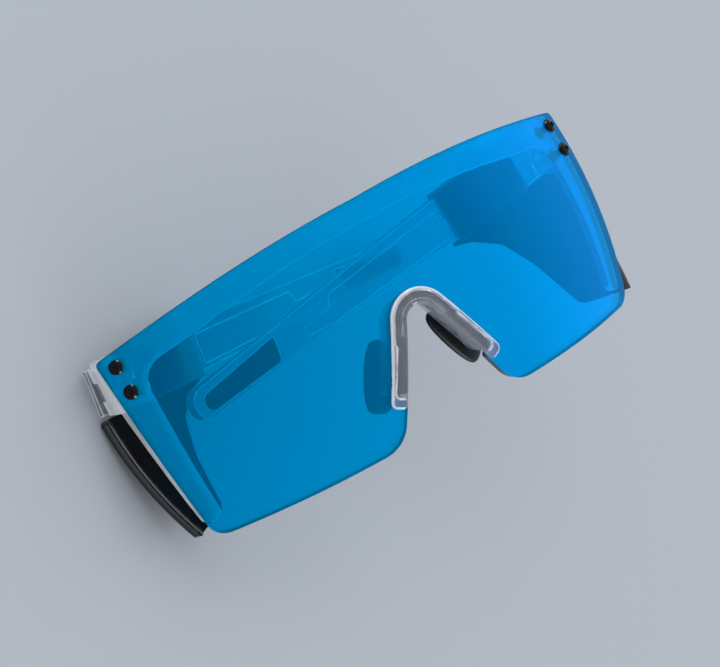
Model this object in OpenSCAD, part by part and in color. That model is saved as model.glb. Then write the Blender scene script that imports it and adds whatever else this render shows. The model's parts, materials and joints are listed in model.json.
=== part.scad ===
// Safety sunglasses: a one-piece spherical shield lens screwed to a clear front,
// folding temples with rubber grips, slip-on side shields and a clip-in nosepiece.
// The pieces are drawn in the lens frame, with X across, Y up to the brow and Z out
// of the lens, and are then laid down on the outer face of the left temple.

/* [Lens] */
// Width of the lens between its top corners
lens_w = 146; // [144:0.5:149]
// Radius of the lens's outer sphere
lens_r = 113; // [110:0.5:118]
// Thickness of the lens
lens_t = 2.2; // [1.8:0.1:2.6]
// Height of the brow edge at the middle
brow_y = 36.3; // [34:0.1:39]
// Height of the top corners
corner_y = 28; // [27:0.1:30]
// Half width at the bottom corners
cheek_x = 66.6; // [64:0.1:69]
// Level of the bottom corners
cheek_y = -25.2; // [-27:0.1:-23]
// Radius of the bottom corners
cheek_r = 5; // [3:0.5:7]

/* [Front frame] */
// Thickness of the clear front
front_t = 2.8; // [2.2:0.1:3.4]
// Height of the brow bar at the middle
bar_h = 6.6; // [5:0.1:8]
// Width of the side legs at mid height
leg_w = 6; // [5:0.1:7]
// Depth of the shelf along the top of the brow bar
shelf_d = 3; // [2:0.1:4]
// Thickness of the shelf
shelf_t = 2; // [1.4:0.1:2.6]
// Step of the front's edge inside the lens's edge
edge_step = 0.8; // [0.4:0.1:1.2]

/* [Lens screws] */
// Distance of the screws in from the top corners
screw_in = 3.5; // [3.2:0.1:4]
// Height of the upper screws
screw_y = 25.2; // [25:0.1:26]
// Spacing of each pair of screws
screw_pitch = 7.1; // [6.8:0.1:7.4]
// Radius of the screw shanks
shank_r = 1; // [0.9:0.05:1.1]
// Radius of the button heads
head_r = 1.95; // [1.8:0.05:2.2]
// Height of the button heads
head_h = 1.25; // [1:0.05:1.5]
// Radius of the brass inserts
insert_r = 1.6; // [1.5:0.05:1.8]
// Length of the brass inserts
insert_l = 4; // [3:0.1:4.2]

/* [Nosepiece] */
// Level of the nosepiece's inner arch
nose_y = 5.5; // [4:0.1:7]
// Radius of the inner arch
nose_r = 4.4; // [3.8:0.1:5]
// Half angle between the nosepiece's legs
nose_a = 25.7; // [23:0.1:28]
// Length of the legs past the arch
nose_l = 22.4; // [21:0.1:24]
// Width of the flange on the front of the lens
flange_w = 4.3; // [4:0.1:4.8]
// Thickness of the flanges
flange_t = 1.1; // [0.9:0.1:1.4]
// Depth of the saddle behind the lens
saddle_d = 8.4; // [7:0.1:10]
// Length of the rubber nose pads
pad_l = 19; // [16:0.5:20]
// Width of the rubber nose pads
pad_w = 8.6; // [7:0.1:9]
// Thickness of the rubber nose pads
pad_t = 2.4; // [2:0.1:3]

/* [Hinges] */
// Half distance between the hinge axes
hinge_x = 69; // [68.5:0.1:69.5]
// Depth of the hinge axes behind the lens's apex
hinge_z = 38.7; // [38.2:0.1:40]
// Top of the hinge lugs
lug_top = 26.5; // [26:0.1:27]
// Bottom of the hinge lugs
lug_bottom = 13.7; // [13.5:0.1:14]
// Radius of the hinge lugs
lug_r = 3.6; // [3.4:0.05:3.8]
// Height of the temple's eye
eye_h = 5.4; // [4.8:0.1:6]
// Radius of the hinge screws
pivot_r = 1; // [0.9:0.05:1.1]

/* [Temples] */
// Length of a temple from its hinge
temple_l = 128; // [122:1:134]
// Thickness of a temple
temple_t = 4; // [3.6:0.1:4.4]
// Height of a temple at its root
root_h = 12.6; // [12:0.1:13]
// Height of a temple at its tip
tip_h = 8.2; // [7.6:0.1:9]
// Slope of the temples below the front's level
droop = 6.5; // [4:0.1:9]
// Depth of the bare panel in the inner face
panel_d = 0.5; // [0.3:0.1:0.8]
// Length of the panel's full height
panel_l = 40; // [34:1:42]
// Length of the rubber grips
grip_l = 27; // [22:1:30]
// Thickness of the rubber grips
grip_t = 1.2; // [1:0.1:1.6]

/* [Side shields] */
// Wall of the shields
shield_t = 1.3; // [1.1:0.1:1.5]
// Reach of the shields below the temple's datum line
shield_h = 47.5; // [44:0.5:49]
// Length of a shield's sleeve along the temple
clip_l = 25.6; // [22:0.1:26]
// Angle at which the shield turns in below its clip
shield_bend = 11; // [9:0.5:14]
// Radius of the shield's inward curve
shield_r = 250; // [180:10:350]
// Width of the bead along the shield's front edge
bead_w = 2.2; // [1.6:0.1:3]

/* [Pose] */
// How far the left temple is folded in
left_fold = 64.8; // [60:0.1:75]
// Distance of the closed right temple's tip behind the lens
tip_gap = 2.6; // [2.3:0.1:6]

/* [Hidden] */
$fn = 64;
far = 200;
// Clearances: a fixed fit, a running fit, and the seat of the lens
fit = 0.05;
run = 0.05;
seat = 0.1;
half_w = lens_w / 2;
front_r = lens_r - lens_t - seat;
brow_rise = 2.5;
side_rise = 1.5;
brow_steps = 8;
shelf_x = half_w - 13;
// Level of the temple's datum line on the hinge axis, and the edge above it
datum_y = 23.45;
top_h = 2.8;
// The temple's inner face lies this far outboard of the hinge axis
inboard = 1;
outer_o = inboard + temple_t;
boss_r = 2.9;
pocket_z = 1.4;
boss_l = pocket_z + insert_l + 0.2;
socket_r = 0.72;
socket_h = 0.75;
eye_r = lug_r - 0.2;
eye_gap = 0.1;
eye_y = (lug_top + lug_bottom) / 2;
slot_h = eye_h + 2 * eye_gap;
swing = 0.3;
nut_r = 2.3;
nut_h = 1.6;
pin_head_r = 1.8;
pin_head_h = 1.2;
heel_s = -2.2;
heel_o = lug_r + 0.15;
root_s = lug_r + swing + (datum_y - lug_bottom) * tan(droop);
clip_s = 9.3;
clip_end = clip_s + clip_l;
core_o = outer_o - shield_t - fit;
clip_wall = 1.1;
curve_h = 10;
bead_t = 0.9;
root_y = top_h - root_h;
tip_y = 1.3;
panel_s = clip_end + 2.9;
panel_step = 3;
grip_end = 3;
grip_s = temple_l - grip_l - grip_end;
grip_in = 1.1;
// The right temple is folded in until its tip lies behind the far end of the lens
hinge_d = norm([hinge_x, lens_r - hinge_z]);
tip_r = lens_r - lens_t - tip_gap;
right_fold = 90 - atan2(lens_r - hinge_z, hinge_x)
  + acos((hinge_d * hinge_d + temple_l * temple_l - tip_r * tip_r) / (2 * hinge_d * temple_l));
rest_tilt = 90 - left_fold;
rest_s = 57;
rest_h = 3.4;

// Outlines: points are [x, y], and [x, y, radius] is a rounded corner
function unit(v) = v / norm(v);
function xy(p) = [p[0], p[1]];
// Points between p and q on a shallow bow that rises to the left of the way
function bow(p, q, rise, n) = let (d = q - p, left = unit([-d[1], d[0]]))
  [for (i = [1:n - 1]) let (t = i / n) p + d * t + left * 4 * rise * t * (1 - t)];
function fillet(a, b, c, r, n) =
  let (u = unit(a - b), v = unit(c - b), half = acos(u * v) / 2,
    m = b + unit(u + v) * r / sin(half),
    p = b + u * r / tan(half) - m, q = b + v * r / tan(half) - m,
    turn = sign(p[0] * q[1] - p[1] * q[0]) * (180 - 2 * half),
    start = atan2(p[1], p[0]))
  [for (i = [0:n]) m + r * [cos(start + turn * i / n), sin(start + turn * i / n)]];
function rounded(pts) = let (n = len(pts)) [for (i = [0:n - 1])
  each len(pts[i]) == 2 ? [pts[i]]
    : fillet(xy(pts[(i + n - 1) % n]), xy(pts[i]), xy(pts[(i + 1) % n]), pts[i][2], 6)];
// A whole outline from its right half, whose ends lie on the middle line
function closed(half) = rounded(concat(half, [for (i = [len(half) - 2:-1:1])
  len(half[i]) == 3 ? [-half[i][0], half[i][1], half[i][2]] : [-half[i][0], half[i][1]]]));
// Level of a sphere of radius r about the lens's centre
function dome(p, r) = sqrt(r * r - p[0] * p[0] - p[1] * p[1]) - lens_r;

// Nosepiece's path: off is the distance out from its inner edge, and t the way down a leg
nose_n = [cos(nose_a), sin(nose_a)];
nose_d = [sin(nose_a), -cos(nose_a)];
function leg_at(t, off) = [0, nose_y - nose_r] + (nose_r + off) * nose_n + t * nose_d;
function arch_at(a, off) = [0, nose_y - nose_r] + (nose_r + off) * [cos(a), sin(a)];
function arch(off) = [for (i = [0:6]) arch_at(90 - (90 - nose_a) * i / 6, off)];
// The core in the lens's notch is wide at the arch and steps in on the legs
step_t = 6.3;
core_t = nose_l - 3;
core_hi = flange_w - 1;
core_lo = flange_w - 2.3;
skin = 0.1;
flush = -0.2;
function u_shape(off, t_end) = closed(concat(arch(off), [concat(leg_at(t_end, off), 1.8)],
  [concat(leg_at(t_end, 0), 1.2)], [for (i = [6:-1:0]) arch(0)[i]]));
function core_shape(gap) = closed(concat(arch(core_hi + gap), [leg_at(step_t, core_hi + gap)],
  [leg_at(step_t + 0.8, core_lo + gap), leg_at(core_t - 0.8 + gap, core_lo + gap)],
  [leg_at(core_t + gap, skin)], [for (i = [6:-1:0]) arch(skin)[i]]));

// The notch in the lens, and the lens's own right half down to it
foot_y = cheek_y - 0.6;
foot_t = (nose_y - nose_r + (nose_r + flush) * nose_n[1] - foot_y) / cos(nose_a);
function lens_half() =
  let (brow = [0, brow_y], top = [half_w, corner_y], cheek = [cheek_x, cheek_y],
    foot = leg_at(foot_t, flush))
  concat([brow], bow(brow, top, brow_rise, brow_steps), [concat(top, 1.6)],
    bow(top, cheek, side_rise, 6), [concat(cheek, cheek_r)],
    bow(cheek, foot, 0.5, 4), [concat(foot, 9)],
    [leg_at(core_t + 1, flush), leg_at(core_t - 0.5, core_lo + seat)],
    [leg_at(step_t + 0.8, core_lo + seat), leg_at(step_t, core_hi + seat)],
    [for (i = [6:-1:0]) arch(core_hi + seat)[i]]);

// The front's right half, along the outside and back along the inside
front_x = half_w - edge_step;
inner_x = front_x - 1.4 - leg_w;
function front_half() =
  let (brow = [0, brow_y], top = [front_x, corner_y], foot = [cheek_x - edge_step, cheek_y + 2.2],
    toe = [cheek_x - 4, cheek_y + 6], knee = [inner_x, corner_y - 20],
    pit = [inner_x, corner_y - 6], bend = [inner_x - 14.8, corner_y - 3.5],
    mid = [0, brow_y - bar_h])
  concat([brow], bow(brow, top, brow_rise, brow_steps), [concat(top, 1.6)],
    bow(top, foot, side_rise, 6), [concat(foot, 1.5)], [concat(toe, 1.5)],
    bow(toe, knee, -0.5, 4), [knee, concat(pit, 7), bend], bow(bend, mid, -1.5, 6), [mid]);
// The shelf follows the brow's edge
function shelf_half() =
  let (brow = [0, brow_y], top = [front_x, corner_y], drop = [0, shelf_t],
    edge = bow(brow, top, brow_rise, brow_steps))
  concat([brow], edge, [for (i = [len(edge) - 1:-1:0]) edge[i] - drop], [brow - drop]);

module at_centre() {
  translate([0, 0, -lens_r]) children();
}
// The spheres are turned so that their poles and seams stay clear of the lens
module ball(r) {
  rotate([-90, 90, 0]) sphere(r, $fn = 180);
}
module shell(r_out, r_in) {
  at_centre() difference() {
    ball(r_out);
    ball(r_in);
  }
}
module prism(outline) {
  at_centre() linear_extrude(lens_r + 20) polygon(outline);
}
// A prism whose walls stand square to the lens near its side edge
module leaning_prism(outline, lean) {
  at_centre() rotate([0, lean, 0]) linear_extrude(lens_r + 20)
    polygon([for (p = outline) [p[0] * cos(lean) - (dome(p, lens_r) + lens_r) * sin(lean), p[1]]]);
}
module on_side(side) {
  mirror([side == "left" ? 1 : 0, 0, 0]) children();
}
module both_sides() {
  on_side("right") children();
  on_side("left") children();
}
// Lays the lens frame down on the outer face of the left temple, with a point in the
// middle of that face at the origin
module laid_down() {
  translate([hinge_x * cos(rest_tilt) - hinge_z * sin(rest_tilt) - rest_s * cos(droop),
    rest_s * sin(droop) + rest_h - datum_y,
    hinge_x * sin(rest_tilt) + hinge_z * cos(rest_tilt) + outer_o])
    rotate([0, -rest_tilt, 0]) children();
}
// A skin through rings that each have the same number of points
module loft(rings) {
  m = len(rings[0]);
  n = len(rings);
  polyhedron([for (ring = rings) each ring],
    concat([[for (j = [0:m - 1]) j]], [[for (j = [m - 1:-1:0]) (n - 1) * m + j]],
      [for (i = [0:n - 2], j = [0:m - 1]) let (a = i * m, b = a + m, k = (j + 1) % m)
        each [[a + j, b + j, b + k], [a + j, b + k, a + k]]]));
}

// Lens
lens_lean = asin((half_w - 2) / lens_r);
split_x = 33;
module lens() {
  color("deepskyblue", 0.8) laid_down() difference() {
    union() {
      intersection() {
        shell(lens_r, lens_r - lens_t);
        prism(closed(lens_half()));
        cube([2 * split_x, far, far], center = true);
      }
      both_sides() intersection() {
        shell(lens_r, lens_r - lens_t);
        leaning_prism(rounded(lens_half()), lens_lean);
        translate([split_x, -far / 2, -far / 2 - 50]) cube(far);
      }
    }
    for (side = ["left", "right"], row = [0, 1])
      at_screw(side, row) cylinder(r = shank_r + fit, h = 10, center = true);
  }
}

// Lens screws: the origin is on the lens's outer face and Z points out of it
module at_screw(side, row) {
  x = half_w - screw_in;
  y = screw_y - row * screw_pitch;
  on_side(side) at_centre() rotate([0, atan2(x, dome([x, y], lens_r) + lens_r), 0])
    rotate([-asin(y / lens_r), 0, 0]) translate([0, 0, lens_r]) children();
}
front_depth = lens_t + seat;
module lens_screw(side, row) {
  rise = head_h - 0.3;
  dome_r = (head_r * head_r + rise * rise) / (2 * rise);
  color("dimgray") laid_down() at_screw(side, row) {
    difference() {
      intersection() {
        cylinder(r = head_r, h = head_h);
        translate([0, 0, head_h - dome_r]) sphere(dome_r);
      }
      translate([0, 0, head_h - socket_h]) cylinder(r = socket_r, h = head_h, $fn = 6);
    }
    translate([0, 0, -front_depth - pocket_z - insert_l])
      cylinder(r = shank_r, h = front_depth + pocket_z + insert_l);
  }
}
module insert(side, row) {
  color("goldenrod") laid_down() at_screw(side, row)
    translate([0, 0, -front_depth - pocket_z - insert_l]) difference() {
      cylinder(r = insert_r - fit / 2, h = insert_l);
      translate([0, 0, -1]) cylinder(r = shank_r + fit / 2, h = insert_l + 2);
    }
}

// Clear front: brow bar, side legs, shelf, screw bosses and the hinge lugs
module slab(outline, y_top, y_bottom) {
  translate([0, y_top, 0]) rotate([90, 0, 0]) linear_extrude(y_top - y_bottom) polygon(outline);
}
module on_axis(y) {
  translate([hinge_x, y, -hinge_z]) rotate([-90, 0, 0]) children();
}
module endpiece() {
  root_z = dome([half_w, 0], front_r);
  intersection() {
    slab([[hinge_x - lug_r + 0.2, -hinge_z], [hinge_x - lug_r - 0.8, root_z - 2],
      [inner_x + 0.4, root_z + 2.5], [inner_x + 0.4, root_z + 10],
      [front_x, root_z + 10], [front_x + 0.2, root_z],
      [hinge_x + lug_r, root_z - 4], [hinge_x + lug_r - 0.2, -hinge_z]], lug_top, lug_bottom);
    at_centre() ball(front_r);
  }
  on_axis(lug_bottom) cylinder(r = lug_r, h = lug_top - lug_bottom);
}
module front_frame() {
  color("aliceblue", 0.5) laid_down() difference() {
    union() {
      intersection() {
        shell(front_r, front_r - front_t);
        prism(closed(front_half()));
      }
      intersection() {
        shell(front_r - front_t + 0.5, front_r - front_t - shelf_d);
        prism(closed(shelf_half()));
        cube([2 * shelf_x, far, far], center = true);
      }
      both_sides() endpiece();
      for (side = ["left", "right"], row = [0, 1]) at_screw(side, row)
        translate([0, 0, -front_depth - boss_l]) cylinder(r = boss_r, h = boss_l - 1);
    }
    for (side = ["left", "right"], row = [0, 1]) at_screw(side, row) {
      cylinder(r = shank_r + fit, h = 30, center = true);
      translate([0, 0, -front_depth - pocket_z - 10]) cylinder(r = insert_r, h = 10);
    }
    both_sides() {
      on_axis(eye_y - slot_h / 2) cylinder(r = lug_r + swing, h = slot_h);
      on_axis(lug_bottom - 1) cylinder(r = pivot_r + fit, h = lug_top - lug_bottom + 2);
      on_axis(lug_top - pin_head_h) cylinder(r = pin_head_r + fit, h = 5);
      on_axis(lug_bottom - 5 + nut_h) cylinder(r = nut_r + fit, h = 5, $fn = 6);
    }
  }
}

// Hinge screws and nuts
module hinge_screw(side) {
  color("dimgray") laid_down() on_side(side) {
    on_axis(lug_bottom) cylinder(r = pivot_r, h = lug_top - lug_bottom - pin_head_h + 0.1);
    on_axis(lug_top - pin_head_h) difference() {
      cylinder(r = pin_head_r, h = pin_head_h);
      translate([0, 0, pin_head_h]) cube([5, 0.5, 1], center = true);
    }
  }
}
module hinge_nut(side) {
  color("silver") laid_down() on_side(side) on_axis(lug_bottom) difference() {
    cylinder(r = nut_r, h = nut_h - fit, $fn = 6);
    translate([0, 0, -1]) cylinder(r = pivot_r + fit / 2, h = nut_h + 2);
  }
}

// Temples: X runs to the tip, Y up and Z away from the wearer, from the hinge axis
module at_hinge(side) {
  fold = side == "left" ? left_fold : right_fold;
  laid_down() on_side(side) translate([hinge_x, 0, -hinge_z]) rotate([0, 90 + fold, 0]) children();
}
module drooped() {
  translate([0, datum_y, 0]) rotate([0, 0, -droop]) children();
}
module plate(outline, o_in, o_out) {
  translate([0, 0, o_in]) linear_extrude(o_out - o_in) polygon(outline);
}
module in_plan(outline) {
  translate([0, 60, 0]) rotate([90, 0, 0]) linear_extrude(120) polygon(outline);
}
function temple_side() = rounded([[heel_s, top_h], [clip_end + 15, top_h],
  [temple_l, tip_y, 4], [temple_l, tip_y - tip_h, 3.4], [temple_l - 45, root_y + 2],
  [clip_end + 10, root_y + 0.6], [clip_end, root_y], [heel_s, root_y]]);
// The core is thinner inside the shield's sleeve, so that the shield lies flush outside
temple_plan = [[heel_s, heel_o], [root_s, heel_o], [root_s, inboard],
  [temple_l + 1, inboard], [temple_l + 1, outer_o], [clip_end + fit, outer_o],
  [clip_end + fit, core_o], [clip_s - fit, core_o], [clip_s - fit, outer_o], [heel_s, outer_o]];
panel_end = panel_s + panel_l;
function panel_outline() = rounded([[panel_s, 0, 0.6], [panel_end, 0, 0.6],
  [panel_end + 1.6, -panel_step], [panel_end + 11, -panel_step - 0.1, 0.5],
  [panel_end + 11, -panel_step - 2.6, 0.5], [panel_end + 1.6, -7],
  [panel_s, root_y + 1.7, 0.6]]);
function grip_outline(in) =
  let (end = temple_l - grip_end - in, top = -grip_in - in, low = tip_y - tip_h + grip_in + in,
    r = 0.45 * (top - low))
  rounded([[grip_s + in, 0.2 - in, 0.6], [end, top, r], [end, low, r],
    [grip_s + 1.6 + in, -6.3 + in, 1]]);
module temple(side) {
  color("aliceblue", 0.6) at_hinge(side) difference() {
    union() {
      drooped() intersection() {
        plate(temple_side(), -2, outer_o + 2);
        in_plan(temple_plan);
      }
      translate([0, eye_y - eye_h / 2, 0]) rotate([-90, 0, 0]) cylinder(r = eye_r, h = eye_h);
      translate([0, eye_y - eye_h / 2, swing]) cube([root_s + 1, eye_h, heel_o]);
    }
    translate([0, eye_y, 0]) rotate([-90, 0, 0]) cylinder(r = pivot_r + run, h = 30, center = true);
    drooped() plate(panel_outline(), inboard - 1, inboard + panel_d);
    drooped() plate(grip_outline(0), inboard - 1, inboard + grip_t);
  }
}
module temple_grip(side) {
  color("black") at_hinge(side) drooped() {
    plate(grip_outline(fit), inboard, inboard + grip_t - fit / 2);
    plate(grip_outline(0.8), inboard - 0.25, inboard + grip_t / 2);
  }
}

// Side shields: section across the temple, as [height, distance outboard]
curve_top = shield_r * sin(shield_bend) - curve_h;
function curve_at(r, a) = [curve_top - r * sin(a),
  outer_o - shield_r * cos(shield_bend) + r * cos(a)];
curve_a = asin((curve_top + shield_h + 1) / (shield_r - shield_t)) - shield_bend;
function wing_section(r_out, r_in) = concat(
  [for (i = [0:10]) curve_at(r_out, shield_bend + curve_a * i / 10)],
  [for (i = [10:-1:0]) curve_at(r_in, shield_bend + curve_a * i / 10)]);
// A rectangle around the temple's own section, this much larger
function band(grow, o_in, o_out) = [[top_h + grow, o_out], [root_y - grow, o_out],
  [root_y - grow, o_in], [top_h + grow, o_in]];
// The side outline: tail under the temple, rear edge, bottom, and the front edge
bead_top = [-4.1, root_y - clip_wall];
bead_foot = [2.4, -shield_h];
function bead_edge(in) = [for (i = [0:8]) let (k = i / 8)
  bead_top + [(bead_foot[0] - bead_top[0]) * pow(k, 2.2) + in, (bead_foot[1] - bead_top[1]) * k]];
function wing_outline() = let (top = root_y - clip_wall, edge = bead_edge(0))
  rounded(concat([[clip_s, top + 0.6], [clip_end, top + 0.6], [clip_end + 1.3, top - 0.4, 0.4],
    [clip_end - 4, top - 2.2], [clip_end - 11.3, top - 7.8, 5], [clip_end - 15.4, top - 17.6, 20],
    [clip_end - 18, -shield_h + 4.4, 3], [bead_foot[0], bead_foot[1], 1.4]],
    [for (i = [7:-1:1]) edge[i]], [[bead_top[0], bead_top[1], 1], [clip_s, top]]));
module across(section) {
  translate([-20, 0, 0]) rotate([90, 0, 90]) linear_extrude(80) polygon(section);
}
module side_shield(side) {
  color("black") at_hinge(side) drooped() {
    intersection() {
      difference() {
        across(band(fit + clip_wall, inboard - fit - clip_wall, outer_o));
        across(band(fit, inboard - fit, outer_o - shield_t));
      }
      translate([clip_s, -30, -10]) cube([clip_l, 60, 30]);
    }
    intersection() {
      across(concat([[0, outer_o]], wing_section(shield_r, shield_r - shield_t),
        [[0, outer_o - shield_t]]));
      plate(wing_outline(), -20, 10);
    }
    intersection() {
      across(wing_section(shield_r - shield_t / 2, shield_r - shield_t - bead_t));
      plate(wing_outline(), -20, 10);
      plate(concat(bead_edge(-1), [for (i = [8:-1:0]) bead_edge(bead_w)[i]]), -20, 10);
    }
  }
}

// Nosepiece: flanges on both faces of the lens, a core in its notch, and the saddle
saddle_t = 1.8;
leg_stops = [for (k = [1, 0.87, 0.7, 0.54, 0.38, 0.22, 0.11]) k * (core_t - 0.9)];
function saddle_ring(p, n, flare, slope) =
  let (z = dome(p, lens_r - lens_t / 2), back = z - lens_t / 2 - saddle_d, in = 2 * skin)
  [for (c = [[core_lo - 3 * skin, z], [flare * 0.5 + core_lo, (z + back) / 2],
      [flare + saddle_t, back - slope], [flare, back + slope],
      [flare * 0.3 + in, (z + back) / 2], [in, z]])
    [p[0] + n[0] * c[0], p[1] + n[1] * c[0], c[1]]];
function saddle_half() = concat(
  [for (t = leg_stops) saddle_ring(leg_at(t, 0), nose_n, 1.4, 0.5)],
  [for (i = [0:5]) let (a = nose_a + (90 - nose_a) * i / 6, n = [cos(a), sin(a)], k = 1 - i / 6)
    saddle_ring(arch_at(a, 0), n, 0.7 + 0.7 * k, 0.5 * k)]);
function flipped(ring) = [for (p = ring) [-p[0], p[1], p[2]]];
module nose_bridge() {
  half = saddle_half();
  n = len(half);
  top = saddle_ring(arch_at(90, 0), [0, 1], 0.7, 0);
  color("aliceblue", 0.7) laid_down() union() {
    intersection() {
      shell(lens_r + fit + flange_t, lens_r + fit);
      prism(u_shape(flange_w, nose_l));
    }
    intersection() {
      shell(lens_r + fit + flange_t / 2, lens_r - lens_t - fit - flange_t / 2);
      prism(core_shape(0));
    }
    intersection() {
      shell(lens_r - lens_t - fit, lens_r - lens_t - fit - flange_t);
      prism(u_shape(flange_w - 0.4, core_t - 1));
    }
    loft(concat(half, [top], [for (i = [n - 1:-1:0]) flipped(half[i])]));
  }
}

// Rubber nose pads: a lozenge along each leg, facing back and in
pad_lean = 25;
pad_mid = 13.5;
function pad_ring(t, k) =
  let (p = leg_at(t, 0), back = dome(p, lens_r - lens_t / 2) - lens_t / 2 - saddle_d,
    w = pad_w / 2 * k, h = pad_t / 2 * k,
    mid = [1.4 + saddle_t / 2, back - pad_t / 2 / cos(pad_lean) - 0.15])
  [for (c = [[-1, -0.4], [-0.75, -1], [0.75, -1], [1, -0.4], [1, 0.4], [0.75, 1], [-0.75, 1],
      [-1, 0.4]])
    let (u = c[0] * w, v = c[1] * h, off = mid[0] + u * cos(pad_lean) + v * sin(pad_lean),
      z = mid[1] - u * sin(pad_lean) + v * cos(pad_lean))
    [p[0] + nose_n[0] * off, p[1] + nose_n[1] * off, z]];
module nose_pad(side) {
  color("black") laid_down() on_side(side) loft([for (i = [0:12])
    let (a = 180 * i / 12, k = max(0.25, pow(sin(a), 0.5)))
      pad_ring(pad_mid - pad_l / 2 * cos(a), k)]);
}

lens();
front_frame();
nose_bridge();
nose_pad("left");  // nose_pad_left
nose_pad("right");  // nose_pad_right
lens_screw("left", 0);  // lens_screw_upper_left
lens_screw("left", 1);  // lens_screw_lower_left
lens_screw("right", 0);  // lens_screw_upper_right
lens_screw("right", 1);  // lens_screw_lower_right
insert("left", 0);  // insert_upper_left
insert("left", 1);  // insert_lower_left
insert("right", 0);  // insert_upper_right
insert("right", 1);  // insert_lower_right
hinge_screw("left");  // hinge_screw_left
hinge_screw("right");  // hinge_screw_right
hinge_nut("left");  // hinge_nut_left
hinge_nut("right");  // hinge_nut_right
temple("left");  // temple_left
temple("right");  // temple_right
temple_grip("left");  // temple_grip_left
temple_grip("right");  // temple_grip_right
side_shield("left");  // side_shield_left
side_shield("right");  // side_shield_right
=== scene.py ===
"""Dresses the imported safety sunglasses: the finish of every piece, the stage, the lights and the camera."""
import json
import math

import bmesh
import bpy
from bpy.props import FloatProperty, FloatVectorProperty, PointerProperty
from mathutils import Matrix, Vector
from mathutils.geometry import delaunay_2d_cdt

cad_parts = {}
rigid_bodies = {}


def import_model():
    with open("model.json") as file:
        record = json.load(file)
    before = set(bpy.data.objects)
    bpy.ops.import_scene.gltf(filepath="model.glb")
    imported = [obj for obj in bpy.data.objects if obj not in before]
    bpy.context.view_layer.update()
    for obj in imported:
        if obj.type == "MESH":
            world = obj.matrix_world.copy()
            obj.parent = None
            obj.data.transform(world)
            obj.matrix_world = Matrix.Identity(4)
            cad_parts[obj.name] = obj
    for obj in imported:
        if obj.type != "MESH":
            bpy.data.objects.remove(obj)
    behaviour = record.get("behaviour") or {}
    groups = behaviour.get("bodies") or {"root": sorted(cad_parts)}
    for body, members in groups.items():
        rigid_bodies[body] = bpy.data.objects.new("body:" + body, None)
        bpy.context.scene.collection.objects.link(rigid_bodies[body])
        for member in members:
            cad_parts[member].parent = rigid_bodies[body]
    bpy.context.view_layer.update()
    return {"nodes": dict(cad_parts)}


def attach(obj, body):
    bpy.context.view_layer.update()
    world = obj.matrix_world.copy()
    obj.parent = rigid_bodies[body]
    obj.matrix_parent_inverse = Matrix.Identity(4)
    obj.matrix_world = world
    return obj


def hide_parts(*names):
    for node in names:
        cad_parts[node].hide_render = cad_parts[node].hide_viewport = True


bl_info = {
    "name": "Safety sunglasses",
    "version": (1, 0, 0),
    "blender": (4, 5, 0),
    "location": "View3D > Sidebar > Sunglasses",
    "description": "Builds the looks of a pair of shield safety sunglasses around its CAD frame",
    "category": "Object",
}

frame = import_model()
MM = 0.001
FRONT = "front"
SIDES = ("left", "right")
ROWS = ("upper", "lower")

# The drawing sizes that the pieces share with the part's source, in millimetres

# The clearance between pieces that fit, and the lens's seat
FIT, SEAT = 0.05, 0.1
# Lens: its two skins are spheres about one centre. The brow, side and foot edges are shallow bows.
LENS_R, LENS_T = 113.0, 2.2
CENTRE = Vector((0, 0, -LENS_R))
MIDDLE_R = LENS_R - LENS_T / 2
BROW_Y, BROW_RISE = 36.3, 2.5
CORNER_X, CORNER_Y, CORNER_R = 73.0, 28.0, 1.6
CHEEK_X, CHEEK_Y, CHEEK_R = 66.6, -25.2, 5.0
SIDE_RISE, FOOT_RISE = 1.5, 0.5
FOOT_Y, FOOT_R = -25.8, 9.0
# Front frame: its face lies on the lens's back, and its edge a step inside the lens's.
FRONT_R, EDGE_STEP, SHELF_T = LENS_R - LENS_T - SEAT, 0.8, 2.0
# Lens screws
SCREW_X, SCREW_Y, SCREW_PITCH, HOLE_R = 69.5, 25.2, 7.1, 1.05
HEAD_R, HEAD_H, SHANK_R, SHANK_L = 1.95, 1.25, 1.0, 2.3 + 1.4 + 4.0
SOCKET_R, SOCKET_H = 0.72, 0.75
# Nose notch, nosepiece and pads
NOSE_Y, NOSE_R, NOSE_A, NOSE_L = 5.5, 4.4, math.radians(25.7), 22.4
FLANGE_W, FLANGE_T = 4.3, 1.1
STEP_T, CORE_T = 6.3, NOSE_L - 3
CORE_HI, CORE_LO = FLANGE_W - 1, FLANGE_W - 2.3
FLUSH = -0.2
SADDLE_D, SADDLE_T, SKIN = 8.4, 1.8, 0.1
LEG_FLARE, ARCH_FLARE = 1.4, 0.7
PAD_L, PAD_W, PAD_T, PAD_LEAN, PAD_MID = 19.0, 8.6, 2.4, math.radians(25), 13.5
# Hinges and temples
HINGE_X, HINGE_Z = 69.0, 38.7
DATUM_Y, DROOP = 23.45, math.radians(6.5)
OUTER_O, TEMPLE_T = 5.0, 4.0
TOP_H, ROOT_Y = 2.8, -9.8
FOLD = {"left": math.radians(64.8), "right": math.radians(97.694)}
# Side shields
SHIELD_T, SHIELD_H, SHIELD_R, SHIELD_BEND = 1.3, 47.5, 250.0, math.radians(11)
CURVE_H, SLEEVE_S, SLEEVE_L, SLEEVE_WALL = 10.0, 9.3, 25.6, 1.1
LIP_W, LIP_T = 2.2, 0.9
# The pose that the glasses lie in
REST_TILT, REST_S, REST_H = math.radians(25.2), 57.0, 3.4


def linear(code):
    """Linear RGBA from an sRGB hex code."""
    parts = [int(code[i : i + 2], 16) / 255 for i in (0, 2, 4)]
    return tuple(c / 12.92 if c <= 0.04045 else ((c + 0.055) / 1.055) ** 2.4 for c in parts) + (1.0,)


def colour(name, about, code):
    """A colour property, from its sRGB hex code."""
    return FloatVectorProperty(
        name=name, description=about, subtype="COLOR", size=4, min=0, max=1, default=linear(code)
    )


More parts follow.
